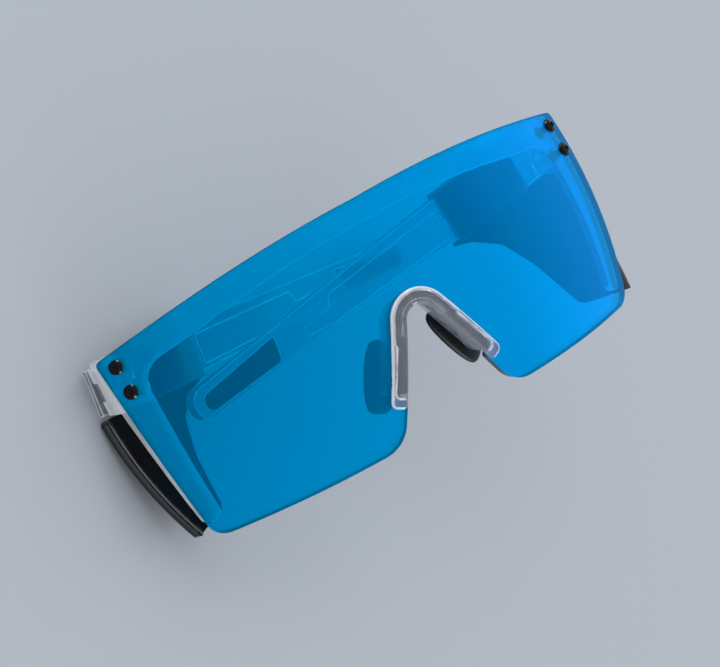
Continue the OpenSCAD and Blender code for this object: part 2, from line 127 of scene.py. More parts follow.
def length(name, about, mm):
    """A length property, from millimetres."""
    return FloatProperty(
        name=name, description=about, subtype="DISTANCE", unit="LENGTH", precision=5, default=mm * MM
    )


def angle(name, about, degrees):
    """An angle property, from degrees."""
    return FloatProperty(
        name=name, description=about, subtype="ANGLE", unit="ROTATION", default=math.radians(degrees)
    )


class SunglassesSizes(bpy.types.PropertyGroup):
    lens_radius: length("Lens radius", "Radius of the lens's outer sphere", LENS_R)
    lens_thickness: length("Lens thickness", "Thickness of the lens", LENS_T)


class SunglassesColours(bpy.types.PropertyGroup):
    mirror: colour("Mirror blue", "Blue of the lens's mirror coating", "00B5F2")
    # Painted: the coat's colour at the right end stands in for the mirror's colour shift at grazing view angles
    painted_grazing_azure: colour("Mirror azure", "Blue of the coating at the lens's right end", "00B0FF")
    rim: colour("Lens rim", "Deep blue of the lens's milled rim", "06304A")
    stray: colour("Stray light", "Tint of the light behind the lens", "F2FBFF")
    clear: colour("Clear nylon", "Tint of the clear mouldings", "F8FAFC")
    temple: colour("Temple nylon", "Tint of the temples' walls", "CBD3DB")
    smoky: colour("Soft clear nylon", "Tint of the nosepiece", "B2B7C4")
    black_gloss: colour("Gloss black", "Colour of the side shields", "060607")
    rubber: colour("Rubber black", "Colour of the pads and grips", "101011")
    black_oxide: colour("Black oxide", "Colour of the lens screws", "0A0A0B")
    brass: colour("Brass", "Colour of the threaded inserts", "C9A24F")
    steel: colour("Steel", "Colour of the hinge screws and nuts", "C4C6C9")
    floor: colour("Floor", "Colour of the floor", "A4ABB5")


class SunglassesCamera(bpy.types.PropertyGroup):
    distance: length("Distance", "From the lens's brow to the camera", 1265.21)
    turn: angle("Turn", "How far the camera stands to the lens's left", 22.888)
    height: angle("Height", "How far the camera stands above the lens's axis", 7.715)
    roll: angle("Roll", "How far the picture is rolled", 26.341)
    shift_x: length("Shift right", "Aim point from the middle of the picture, to the right", 3.922)
    shift_y: length("Shift up", "Aim point from the middle of the picture, upwards", 27.227)
    aim_y: length("Aim height", "Height of the aim point on the lens's middle line", 28)


def lens_frame():
    """From the lens's own axes, in millimetres, to the row frame. X is across, Y up to the brow, Z out of it."""
    s, c = math.sin(REST_TILT), math.cos(REST_TILT)
    move = Vector(
        (
            HINGE_X * c - HINGE_Z * s - REST_S * math.cos(DROOP),
            REST_S * math.sin(DROOP) + REST_H - DATUM_Y,
            HINGE_X * s + HINGE_Z * c + OUTER_O,
        )
    )
    return Matrix.Scale(MM, 4) @ Matrix.Translation(move) @ Matrix.Rotation(-REST_TILT, 4, "Y")


def side_frame(side):
    """As lens_frame, but with X mirrored on the left, so that the right side's drawing makes both sides."""
    return lens_frame() @ (Matrix.Scale(-1, 4, (1, 0, 0)) if side == "left" else Matrix.Identity(4))


def temple_frame(side):
    """From a temple's own axes to the row frame: X along its datum line to the tip, Y up, Z outboard."""
    hinge = Matrix.Translation((HINGE_X, 0, -HINGE_Z)) @ Matrix.Rotation(math.pi / 2 + FOLD[side], 4, "Y")
    return side_frame(side) @ hinge @ Matrix.Translation((0, DATUM_Y, 0)) @ Matrix.Rotation(-DROOP, 4, "Z")


# Outlines are lists of points (x, y), or (x, y, radius) for a corner to be rounded


def bow(p, q, rise, steps):
    """Points between p and q on a shallow bow that rises to the left of the way."""
    d = Vector(q[:2]) - Vector(p[:2])
    left = Vector((-d.y, d.x)).normalized()
    points = []
    for i in range(1, steps):
        t = i / steps
        points.append(tuple(Vector(p[:2]) + d * t + left * 4 * rise * t * (1 - t)))
    return points


def fillet(a, b, c, radius, steps=6):
    """Points on the arc of this radius that rounds the corner b of the way from a to c."""
    a, b, c = (Vector(v[:2]) for v in (a, b, c))
    u, v = (a - b).normalized(), (c - b).normalized()
    half = math.acos(max(-1, min(1, u.dot(v)))) / 2
    m = b + (u + v).normalized() * radius / math.sin(half)
    p, q = b + u * radius / math.tan(half) - m, b + v * radius / math.tan(half) - m
    turn = math.copysign(math.pi - 2 * half, p.x * q.y - p.y * q.x)
    start = math.atan2(p.y, p.x)
    return [
        tuple(m + Vector((math.cos(start + turn * i / steps), math.sin(start + turn * i / steps))) * radius)
        for i in range(steps + 1)
    ]


def rounded(points, steps=6):
    """The outline with an arc in place of each corner that has a radius."""
    out = []
    for i, p in enumerate(points):
        if len(p) == 2:
            out.append(tuple(p))
        else:
            out += fillet(points[i - 1], p, points[(i + 1) % len(points)], p[2], steps)
    return out


def closed(half, steps=6):
    """A whole outline from its right half, whose ends lie on the middle line."""
    mirrored = [(-p[0], *p[1:]) for p in half[-2:0:-1]]
    return rounded(list(half) + mirrored, steps)


def inside(p, loop):
    """Whether a point lies inside a closed outline."""
    hit = False
    for (x0, y0), (x1, y1) in zip(loop, loop[1:] + loop[:1]):
        if (y0 > p[1]) != (y1 > p[1]) and p[0] < (x1 - x0) * (p[1] - y0) / (y1 - y0) + x0:
            hit = not hit
    return hit


def inner_row(fine, outline, depth):
    """Points at this depth inside an outline, one for each of its fine points where there is room."""
    area = sum(p.x * q.y - q.x * p.y for p, q in zip(fine, fine[1:] + fine[:1]))
    loop = outline + outline[:1]
    row = []
    for before, p, after in zip(fine[-1:] + fine[:-1], fine, fine[1:] + fine[:1]):
        along = (after - before).normalized()
        q = p + Vector((-along.y, along.x)) * math.copysign(depth, area)
        if inside(q, outline) and way_to(q, loop) > 0.95 * depth:
            row.append(q)
    return row


# In shares of the spacing: how near a filling point may come to the rim's points, and the step between its rows
CLOSEST, ROW_STEP = 0.55, 0.866


def fill(outline, holes=(), spacing=2.0, rows=()):
    """(points, triangles) that fill an outline with holes, with points about spacing apart inside, and with rows
    of points at these depths along the outline."""
    points, edges, inner = [], [], []
    for loop in [outline, *holes]:
        fine = []
        for p, q in zip(loop, loop[1:] + loop[:1]):
            p, q = Vector(p), Vector(q)
            n = max(1, round((q - p).length / spacing))
            fine += [p + (q - p) * i / n for i in range(n)]
        start = len(points)
        points += fine
        edges += [(start + i, start + (i + 1) % len(fine)) for i in range(len(fine))]
        if loop is outline:
            for depth in rows:
                inner += inner_row(fine, outline, depth)
    points += inner
    rim = list(points)
    xs, ys = [p[0] for p in outline], [p[1] for p in outline]
    y = min(ys) + spacing / 2
    odd = False
    while y < max(ys):
        x = min(xs) + (spacing / 2 if odd else spacing)
        while x < max(xs):
            p = Vector((x, y))
            if inside(p, outline) and not any(inside(p, h) for h in holes):
                if all((p - r).length > spacing * CLOSEST for r in rim):
                    points.append(p)
            x += spacing
        y += spacing * ROW_STEP
        odd = not odd
    verts, _, faces, *_ = delaunay_2d_cdt(points, edges, [], 0, 1e-6)
    keep = []
    for f in faces:
        m = (verts[f[0]] + verts[f[1]] + verts[f[2]]) / 3
        if inside(m, outline) and not any(inside(m, h) for h in holes):
            keep.append(f if (verts[f[1]] - verts[f[0]]).cross(verts[f[2]] - verts[f[0]]) > 0 else f[::-1])
    return [tuple(v) for v in verts], keep


def way_to(p, line):
    """Distance from a point to an open line of points."""
    p = Vector(p)
    best = 1e9
    for a, b in zip(line, line[1:]):
        a, d = Vector(a), Vector(b) - Vector(a)
        t = max(0.0, min(1.0, (p - a).dot(d) / d.length_squared))
        best = min(best, (p - a - d * t).length)
    return best


def quarter_round(d, radius):
    """Height of a rounded edge of this radius at a distance d in from it, from 0 to 1."""
    return math.sqrt(1 - (1 - d / radius) ** 2) if d < radius else 1.0


def ease(t):
    """From 0 to 1 with a soft start and end, as t goes from 0 to 1."""
    t = max(0.0, min(1.0, t))
    return t * t * (3 - 2 * t)


def bell(t):
    """A soft line's brightness, 1 in its middle and fading as t grows."""
    return math.exp(-(t**2))


def loft(rings, bm=None, tube=False):
    """A closed skin through rings with the same number of points each, capped at both ends, or as a tube with a
    bore, where it goes on from the last ring to the first."""
    bm = bm or bmesh.new()
    rows = [[bm.verts.new(p) for p in ring] for ring in rings]
    m = len(rows[0])
    for a, b in zip(rows, rows[1:] + (rows[:1] if tube else [])):
        for j in range(m):
            bm.faces.new((a[j], b[j], b[(j + 1) % m], a[(j + 1) % m]))
    if not tube:
        bm.faces.new(rows[0])
        bm.faces.new(list(reversed(rows[-1])))
    return bm


def paint_highlights(bm, strength):
    """Stores on each point how strongly a painted highlight whitens a clear moulding there, from 0 to 1."""
    layer = bm.verts.layers.float.new("painted_highlight")
    for v in bm.verts:
        v[layer] = strength(v.co)


def slab(points, triangles, front, back, bm=None, wall=0):
    """A closed mesh from a filled outline. front(x, y) and back(x, y) give its skins, wall its rim's material."""
    bm = bm or bmesh.new()
    top = [bm.verts.new(front(*p)) for p in points]
    low = [bm.verts.new(back(*p)) for p in points]
    for f in triangles:
        bm.faces.new([top[i] for i in f])
        bm.faces.new([low[i] for i in reversed(f)])
    once = {}
    for f in triangles:
        for a, b in zip(f, f[1:] + f[:1]):
            if (b, a) in once:
                del once[(b, a)]
            else:
                once[(a, b)] = True
    for a, b in once:
        bm.faces.new((top[b], top[a], low[a], low[b])).material_index = wall
    loose = [v for v in bm.verts if not v.link_faces]
    bmesh.ops.delete(bm, geom=loose, context="VERTS")
    return bm


def piece(name, bm, material, body, place, edge=0.0, sharp=40, replaces=()):
    """A finished object from a bmesh drawn in millimetres in the frame of place. Its edges are broken by edge where
    faces meet at more than sharp degrees."""
    bm.transform(place)
    bmesh.ops.recalc_face_normals(bm, faces=bm.faces)
    mesh = bpy.data.meshes.new(name)
    bm.to_mesh(mesh)
    bm.free()
    mesh.shade_smooth()
    mesh.set_sharp_from_angle(angle=math.radians(sharp))
    mesh.materials.append(material)
    obj = bpy.data.objects.new(name, mesh)
    bpy.context.scene.collection.objects.link(obj)
    if edge:
        bevel = obj.modifiers.new("broken_edges", "BEVEL")
        bevel.width = edge
        bevel.segments = 2
        bevel.limit_method = "ANGLE"
        bevel.angle_limit = math.radians(sharp)
    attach(obj, body)
    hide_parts(*replaces)
    return obj


# The sockets of a Mix node for colours
FACTOR, COLOUR_A, COLOUR_B, MIXED = 0, 6, 7, 2


def add(tree, kind, settings=None, inputs=None, links=None):
    """One node with its settings, its input values and its links from other nodes' outputs."""
    node = tree.nodes.new(kind)
    for key, value in (settings or {}).items():
        setattr(node, key, value)
    for key, value in (inputs or {}).items():
        node.inputs[key].default_value = value
    for key, source in (links or {}).items():
        tree.links.new(source, node.inputs[key])
    return node


def new_material(name):
    """(material, whether it is new and still empty)"""
    mat = bpy.data.materials.get(name)
    if mat is None:
        mat = bpy.data.materials.new(name)
        mat.use_nodes = True
        mat.node_tree.nodes.clear()
        return mat, True
    return mat, False


def finish_surface(tree, settings, links=None):
    """Adds the main shader with its constants and links, and the output."""
    shader = add(tree, "ShaderNodeBsdfPrincipled", inputs=settings, links=links)
    add(tree, "ShaderNodeOutputMaterial", links={"Surface": shader.outputs["BSDF"]})


def uneven(tree, scale, detail, low, high):
    """(pattern, roughness) of a surface that is uneven every 1 / scale metres, and rough from low to high."""
    where = add(tree, "ShaderNodeTexCoord").outputs["Object"]
    noise = add(tree, "ShaderNodeTexNoise", inputs={"Scale": scale, "Detail": detail}, links={"Vector": where})
    rough = add(
        tree, "ShaderNodeMapRange", inputs={"To Min": low, "To Max": high}, links={"Value": noise.outputs["Fac"]}
    )
    return noise.outputs["Fac"], rough.outputs["Result"]


def mirrored_polycarbonate():
    """Injection moulded polycarbonate with a vacuum coated mirror: see-through, cyan with a painted drift to azure
    towards the right end.
    """
    mat, fresh = new_material("mirrored_polycarbonate")
    if fresh:
        tree = mat.node_tree
        colours = bpy.context.scene.sunglasses_colours
        # The mould's polish varies over about 60 mm. The coat's colour turns azure towards the lens's right end, a
        # painted stand-in for the mirror's colour shift at grazing view angles.
        _, rough = uneven(tree, 16.0, 1.0, 0.03, 0.07)
        where = add(tree, "ShaderNodeTexCoord").outputs["Object"]
        side = add(tree, "ShaderNodeSeparateXYZ", links={"Vector": where}).outputs["X"]
        grazing_share = add(
            tree, "ShaderNodeMapRange", inputs={"From Min": -0.02, "From Max": 0.07}, links={"Value": side}
        )
        coat = add(
            tree,
            "ShaderNodeMix",
            settings={"data_type": "RGBA"},
            inputs={COLOUR_A: colours.mirror, COLOUR_B: colours.painted_grazing_azure},
            links={FACTOR: grazing_share.outputs["Result"]},
        )
        # Light reaches the pieces behind the lens past its edges too, so it keeps more of its white.
        path = add(tree, "ShaderNodeLightPath").outputs["Diffuse Depth"]
        tint = add(
            tree,
            "ShaderNodeMix",
            settings={"data_type": "RGBA"},
            inputs={COLOUR_B: colours.stray},
            links={FACTOR: path, COLOUR_A: coat.outputs[MIXED]},
        )
        finish_surface(
            tree,
            {
                "Specular Tint": colours.mirror,
                "Metallic": 0.18,
                "Transmission Weight": 1.0,
                "IOR": 1.06,
            },
            {"Base Color": tint.outputs[MIXED], "Roughness": rough},
        )
    return mat


def cut_polycarbonate():
    """The lens's milled rim: deep blue, because it is seen along the tinted sheet, with a fine satin."""
    mat, fresh = new_material("milled_polycarbonate_rim")
    if fresh:
        tree = mat.node_tree
        # The cutter's marks are about 0.7 mm apart.
        _, rough = uneven(tree, 1500.0, 2.0, 0.2, 0.4)
        finish_surface(
            tree,
            {
                "Base Color": bpy.context.scene.sunglasses_colours.rim,
                "IOR": 1.5,
                "Transmission Weight": 0.3,
            },
            {"Roughness": rough},
        )
    return mat


def clear_nylon(name, wall, most):
    """Clear moulded nylon: walls of the colour wall that let the share most through, and edges with a painted
    highlight, white and opaque. A vertex attribute marks ends that get the same painted highlight."""
    mat, fresh = new_material(name)
    if fresh:
        tree = mat.node_tree
        # Flow marks about 3 mm apart make the wall uneven.
        _, rough = uneven(tree, 330.0, 2.0, 0.06, 0.16)
        # Within 0.8 mm of an edge the rounded normal leaves the flat one; there the edge gets a painted highlight,
        # white and opaque.
        face = add(tree, "ShaderNodeNewGeometry").outputs["Normal"]
        soft = add(tree, "ShaderNodeBevel", settings={"samples": 8}, inputs={"Radius": 0.0008}).outputs["Normal"]
        along = add(
            tree, "ShaderNodeVectorMath", settings={"operation": "DOT_PRODUCT"}, links={0: face, 1: soft}
        ).outputs["Value"]
        clear = add(
            tree, "ShaderNodeMapRange", inputs={"From Min": 0.75, "From Max": 0.985}, links={"Value": along}
        )
        # Painted highlight from the attribute: it makes the wall whiter and lets less through.
        painted_end_highlight = add(tree, "ShaderNodeAttribute", settings={"attribute_name": "painted_highlight"}).outputs["Fac"]
        share = add(tree, "ShaderNodeMapRange", inputs={"To Min": most, "To Max": 0.1}, links={"Value": painted_end_highlight})
        through = add(
            tree,
            "ShaderNodeMath",
            settings={"operation": "MULTIPLY"},
            links={0: clear.outputs["Result"], 1: share.outputs["Result"]},
        )
        tint = add(
            tree,
            "ShaderNodeMix",
            settings={"data_type": "RGBA"},
            inputs={COLOUR_A: bpy.context.scene.sunglasses_colours.clear, COLOUR_B: wall},
            links={FACTOR: through.outputs["Value"]},
        )
        finish_surface(
            tree,
            {"IOR": 1.4},
            {
                "Base Color": tint.outputs[MIXED],
                "Roughness": rough,
                "Transmission Weight": through.outputs["Value"],
            },
        )
    return mat


def soft_clear_nosepiece():
    """Moulded soft nylon of the nosepiece: see-through, a little smoky, with a painted highlight along its rims and
    its step.
    """
    mat, fresh = new_material("soft_clear_nylon")
    if fresh:
        tree = mat.node_tree
        colours = bpy.context.scene.sunglasses_colours
        # Flow marks about 4 mm apart bend what is seen through the wall.
        flow, rough = uneven(tree, 250.0, 1.0, 0.04, 0.12)
        relief = add(
            tree,
            "ShaderNodeBump",
            inputs={"Strength": 0.7, "Distance": 0.0006},
            links={"Height": flow},
        )
        # Painted highlight: where the attribute is high, the colour turns to the clear white and the wall lets less
        # through.
        edge = add(tree, "ShaderNodeAttribute", settings={"attribute_name": "painted_highlight"}).outputs["Fac"]
        clear = add(tree, "ShaderNodeMapRange", inputs={"To Min": 0.88, "To Max": 0.1}, links={"Value": edge})
        tint = add(
            tree,
            "ShaderNodeMix",
            settings={"data_type": "RGBA"},
            inputs={COLOUR_A: colours.smoky, COLOUR_B: colours.clear},
            links={FACTOR: edge},
        )
        finish_surface(
            tree,
            {"IOR": 1.42},
            {
                "Base Color": tint.outputs[MIXED],
                "Transmission Weight": clear.outputs["Result"],
                "Roughness": rough,
                "Normal": relief.outputs["Normal"],
            },
        )
    return mat


def grained(name, colour_key, low, high, scale, bump, metallic=0.0, specular=0.5):
    """An opaque moulded, turned or plated surface, rough from low to high in a grain of 1 / scale metres."""
    mat, fresh = new_material(name)
    if fresh:
        tree = mat.node_tree
        grain, rough = uneven(tree, scale, 3.0, low, high)
        relief = add(
            tree,
            "ShaderNodeBump",
            inputs={"Strength": bump, "Distance": 0.00002},
            links={"Height": grain},
        )
        finish_surface(
            tree,
            {
                "Base Color": getattr(bpy.context.scene.sunglasses_colours, colour_key),
                "Metallic": metallic,
                "Specular IOR Level": specular,
            },
            {"Roughness": rough, "Normal": relief.outputs["Normal"]},
        )
    return mat


def gloss_black():
    """Polished moulded nylon: black, with a hard gloss that catches the lights along rounded edges."""
    return grained("polished_black_nylon", "black_gloss", 0.08, 0.16, 900.0, 0.05, specular=0.6)


def satin_black():
    """The shields' inner skin: black nylon with a weak gloss, so that the lens hardly mirrors in it."""
    return grained("satin_black_nylon", "black_gloss", 0.2, 0.3, 900.0, 0.05, specular=0.05)


def soft_rubber():
    """Moulded thermoplastic rubber: a dull black with a 0.5 mm grain."""
    return grained("moulded_rubber", "rubber", 0.45, 0.6, 2000.0, 0.5, specular=0.25)


def black_oxide_steel():
    """Black oxide on a machined steel screw: a deep black that mirrors only weakly."""
    return grained("black_oxide_steel", "black_oxide", 0.08, 0.16, 3000.0, 0.1, specular=0.12)


def turned_brass():
    """Turned brass of the threaded inserts: a warm metal with fine tool marks."""
    return grained("turned_brass", "brass", 0.25, 0.4, 2500.0, 0.3, metallic=1.0)


def turned_steel():
    """Turned stainless steel of the hinge screws and nuts: a bright metal with fine tool marks."""
    return grained("turned_steel", "steel", 0.2, 0.35, 2500.0, 0.3, metallic=1.0)


def no_glints(obj):
    """Keeps the low lamps off a broad glossy piece, where they would stand as bright discs or dots."""
    apart = bpy.data.collections.get("no_glints") or bpy.data.collections.new("no_glints")
    apart.objects.link(obj)
    for held in apart.collection_objects:
        held.light_linking.link_state = "EXCLUDE"
    for lamp in bpy.data.objects:
        if lamp.name.startswith("glint"):
            lamp.light_linking.receiver_collection = apart


def dress(node, material):
    """Gives a carried-over CAD node its material."""
    obj = frame["nodes"][node]
    obj.data.materials.clear()
    obj.data.materials.append(material)


# The lens, in its own frame

# The way out from the right leg of the nose notch, and the way down it.
NOSE_N = Vector((math.cos(NOSE_A), math.sin(NOSE_A)))
NOSE_D = Vector((math.sin(NOSE_A), -math.cos(NOSE_A)))


def leg_at(t, off):
    """The point at t down the right leg of the nose notch and off outwards from its inner edge."""
    return tuple(Vector((0, NOSE_Y - NOSE_R)) + NOSE_N * (NOSE_R + off) + NOSE_D * t)


def arch_at(a, off):
    """The point at the angle a on the notch's arch and off outwards from its inner edge."""
    return ((NOSE_R + off) * math.cos(a), NOSE_Y - NOSE_R + (NOSE_R + off) * math.sin(a))


def arch(off, steps=10):
    """The right half of the notch's arch, from its top."""
    return [arch_at(math.pi / 2 - (math.pi / 2 - NOSE_A) * i / steps, off) for i in range(steps + 1)]


def lens_half():
    """Right half of the lens's outline, from the middle of the brow round to the top of the nose notch."""
    brow, top, cheek = (0, BROW_Y), (CORNER_X, CORNER_Y), (CHEEK_X, CHEEK_Y)
    foot_t = (NOSE_Y - NOSE_R + (NOSE_R + FLUSH) * NOSE_N.y - FOOT_Y) / math.cos(NOSE_A)
    foot = leg_at(foot_t, FLUSH)
    wide, narrow = CORE_HI + SEAT, CORE_LO + SEAT
    return (
        [brow]
        + bow(brow, top, BROW_RISE, 16)
        + [(*top, CORNER_R)]
        + bow(top, cheek, SIDE_RISE, 12)
        + [(*cheek, CHEEK_R)]
        + bow(cheek, foot, FOOT_RISE, 8)
        + [(*foot, FOOT_R)]
        + [leg_at(CORE_T + 1, FLUSH), leg_at(CORE_T - 0.5, narrow)]
        + [leg_at(STEP_T + 0.8, narrow), leg_at(STEP_T, wide)]
        + arch(wide)[::-1]
    )


def dome(x, y, r):
    """Height over x, y of the sphere of radius r about the lens's centre."""
    return math.sqrt(r * r - x * x - y * y) - LENS_R


def on_sphere(x, y, r):
    """The point of that sphere over x, y."""
    return Vector((x, y, dome(x, y, r)))


def screw_places():
    """(side, row, the screw's frame in the lens frame): Z points out of the lens."""
    for side in SIDES:
        x = -SCREW_X if side == "left" else SCREW_X
        for i, row in enumerate(ROWS):
            p = on_sphere(x, SCREW_Y - SCREW_PITCH * i, LENS_R)
            out = (p - CENTRE).normalized()
            yield side, row, Matrix.Translation(p) @ out.to_track_quat("Z", "Y").to_matrix().to_4x4()


class SUNGLASSES_OT_lens(bpy.types.Operator):
    """Moulds the one-piece mirrored lens"""

    bl_idname = "sunglasses.lens"
    bl_label = "Lens"

    def execute(self, context):
        sizes = context.scene.sunglasses_sizes
        r, t = sizes.lens_radius / MM, sizes.lens_thickness / MM
        circle = [(math.cos(i * math.pi / 12), math.sin(i * math.pi / 12)) for i in range(24)]
        holes = []
        for _, _, place in screw_places():
            ring = [place @ Vector((HOLE_R * u, HOLE_R * v, 0)) for u, v in circle]
            holes.append([(p.x, p.y) for p in ring])
        points, triangles = fill(closed(lens_half(), 10), holes, 2.0)

        def front(x, y):
            return on_sphere(x, y, r)

        def back(x, y):
            return (on_sphere(x, y, r) - CENTRE) * ((r - t) / r) + CENTRE

        lens = piece(
            "mirrored_lens",
            slab(points, triangles, front, back, wall=1),
            mirrored_polycarbonate(),
            FRONT,
            lens_frame(),
            edge=0.0002,
            replaces=("lens",),
        )
        lens.data.materials.append(cut_polycarbonate())
        no_glints(lens)
        return {"FINISHED"}


# How far the front's brow edge is drafted back: at the face, and for each millimetre behind it. The shelf behind
# the brow starts at SHELF_DEPTH, and the end blocks, which keep their edge, at SHELF_END.
BROW_DROP, BROW_SLOPE = 0.5, 0.17
SHELF_DEPTH, SHELF_END = 2.6, 70.5
# Where the painted brightening of the end blocks starts, and how far it is to its full strength
BLOCK_X, BLOCK_RUN = 71, 2.5


def brow_level(x):
    """Height of the front's brow edge at x."""
    middle, end = (0, BROW_Y), (CORNER_X - EDGE_STEP, CORNER_Y)
    line = [middle] + bow(middle, end, BROW_RISE, 16) + [end]
    for p, q in zip(line, line[1:]):
        if p[0] <= abs(x) <= q[0]:
            return p[1] + (q[1] - p[1]) * (abs(x) - p[0]) / (q[0] - p[0])
    return line[-1][1]


class SUNGLASSES_OT_front(bpy.types.Operator):
    """Moulds the clear front, with its brow drafted back so that the lens's edge hides it"""

    bl_idname = "sunglasses.front"
    bl_label = "Front frame"

    def execute(self, context):
        bm = bmesh.new()
        bm.from_mesh(frame["nodes"]["front_frame"].data)
        bm.transform(lens_frame().inverted())
        for v in bm.verts:
            depth = FRONT_R - (v.co - CENTRE).length
            above = v.co.y - brow_level(v.co.x)
            draft = BROW_DROP + BROW_SLOPE * max(0.0, depth)
            if abs(v.co.x) < SHELF_END:
                if depth > SHELF_DEPTH and abs(above + SHELF_T) < 0.5:
                    v.co.y -= draft
                elif above > -draft:
                    v.co.y -= above + draft
        # Painted highlight: the end blocks outside the lens are whitened and made less clear.
        paint_highlights(bm, lambda co: ease((abs(co.x) - BLOCK_X) / BLOCK_RUN))
        piece(
            "clear_front",
            bm,
            clear_nylon("clear_nylon_front", context.scene.sunglasses_colours.clear, 0.66),
            FRONT,
            lens_frame(),
            sharp=30,
            replaces=("front_frame",),
        )
        return {"FINISHED"}


# The nosepiece's corner radii: of a flange's legs outside and inside
LEG_OUT_R, LEG_IN_R = 1.8, 1.2
# Its front flange: the rounded rim's radius and lowest height, the depth of the step and the run down to it,
# where the step ends down the leg, and how far off the inner edge the groove runs
RIM_R, RIM_LOW, STEP_DEEP, STEP_RUN = 0.7, 0.35, 0.5, 0.45
STEP_END, GROOVE = CORE_T + 0.4, 1.3
# Its painted highlight lines, each with its distance in from its edge and its softness, and the painted highlight's
# strength on what lies behind the lens
RIM_LINE, STEP_LINE, GROOVE_LINE, BEHIND = (0.12, 0.3), (0.1, 0.16), (0.0, 0.16), 0.12
# Its saddle: the radii of the waist and of the rear rim's corners
WAIST_R, SADDLE_R = 2.0, 0.55
# The pads: how square their ovals are, their share of the full size, and the gap behind the saddle
OVAL, PAD_SHARE, PAD_GAP = 0.7, 0.99, 0.15


def u_half(off, end, out, inner):
    """Right half of the nosepiece's outline, from the top of the arch down the leg and back inside."""
    return arch(off) + [(*leg_at(end, off), out), (*leg_at(end, 0), inner)] + arch(0)[::-1]


def core_half():
    """Right half of the step on the front flange: wide round the arch, and narrower from the top of the leg."""
    wide, narrow, foot, inner = CORE_HI + 0.3, CORE_HI - 0.2, CORE_HI + 0.2, 0.25
    return (
        arch(wide)
        + [(*leg_at(STEP_T, wide), 0.4), (*leg_at(STEP_T + 0.4, narrow), 0.4)]
        + [(*leg_at(STEP_END, foot), 1.4), (*leg_at(STEP_END, inner), 0.2)]
        + arch(inner)[::-1]
    )


def saddle_ring(p, n, flare, slope):
    """A section of the saddle behind the lens at the point p of the inner edge, where n points away from the nose.
    flare is how far the rear rim stands off that edge, and slope half of the drop across the rim."""
    z = dome(*p, MIDDLE_R)
    back = z - LENS_T / 2 - SADDLE_D
    waist = (z + back) / 2
    corners = [
        (CORE_LO - 3 * SKIN, z),
        (flare * 0.5 + CORE_LO, waist, WAIST_R),
        (flare + SADDLE_T, back - slope, SADDLE_R),
        (flare, back + slope, SADDLE_R),
        (flare * 0.3 + 2 * SKIN, waist, WAIST_R),
        (2 * SKIN, z),
    ]
    return [(p[0] + n.x * c[0], p[1] + n.y * c[0], c[1]) for c in rounded(corners, 4)]


def pad_ring(t, k):
    """A section of a rubber pad at t down the right leg: a flat oval, k times its full size."""
    p = leg_at(t, 0)
    back = dome(*p, MIDDLE_R) - LENS_T / 2 - SADDLE_D
    mid = (LEG_FLARE + SADDLE_T / 2, back - PAD_T / 2 / math.cos(PAD_LEAN) - PAD_GAP)
    ring = []
    for i in range(20):
        a = 2 * math.pi * i / 20
        u = PAD_W / 2 * k * math.copysign(abs(math.cos(a)) ** OVAL, math.cos(a)) * PAD_SHARE
        v = PAD_T / 2 * k * math.copysign(abs(math.sin(a)) ** OVAL, math.sin(a)) * PAD_SHARE
        off = mid[0] + u * math.cos(PAD_LEAN) + v * math.sin(PAD_LEAN)
        z = mid[1] - u * math.sin(PAD_LEAN) + v * math.cos(PAD_LEAN)
        ring.append((p[0] + NOSE_N.x * off, p[1] + NOSE_N.y * off, z))
    return ring


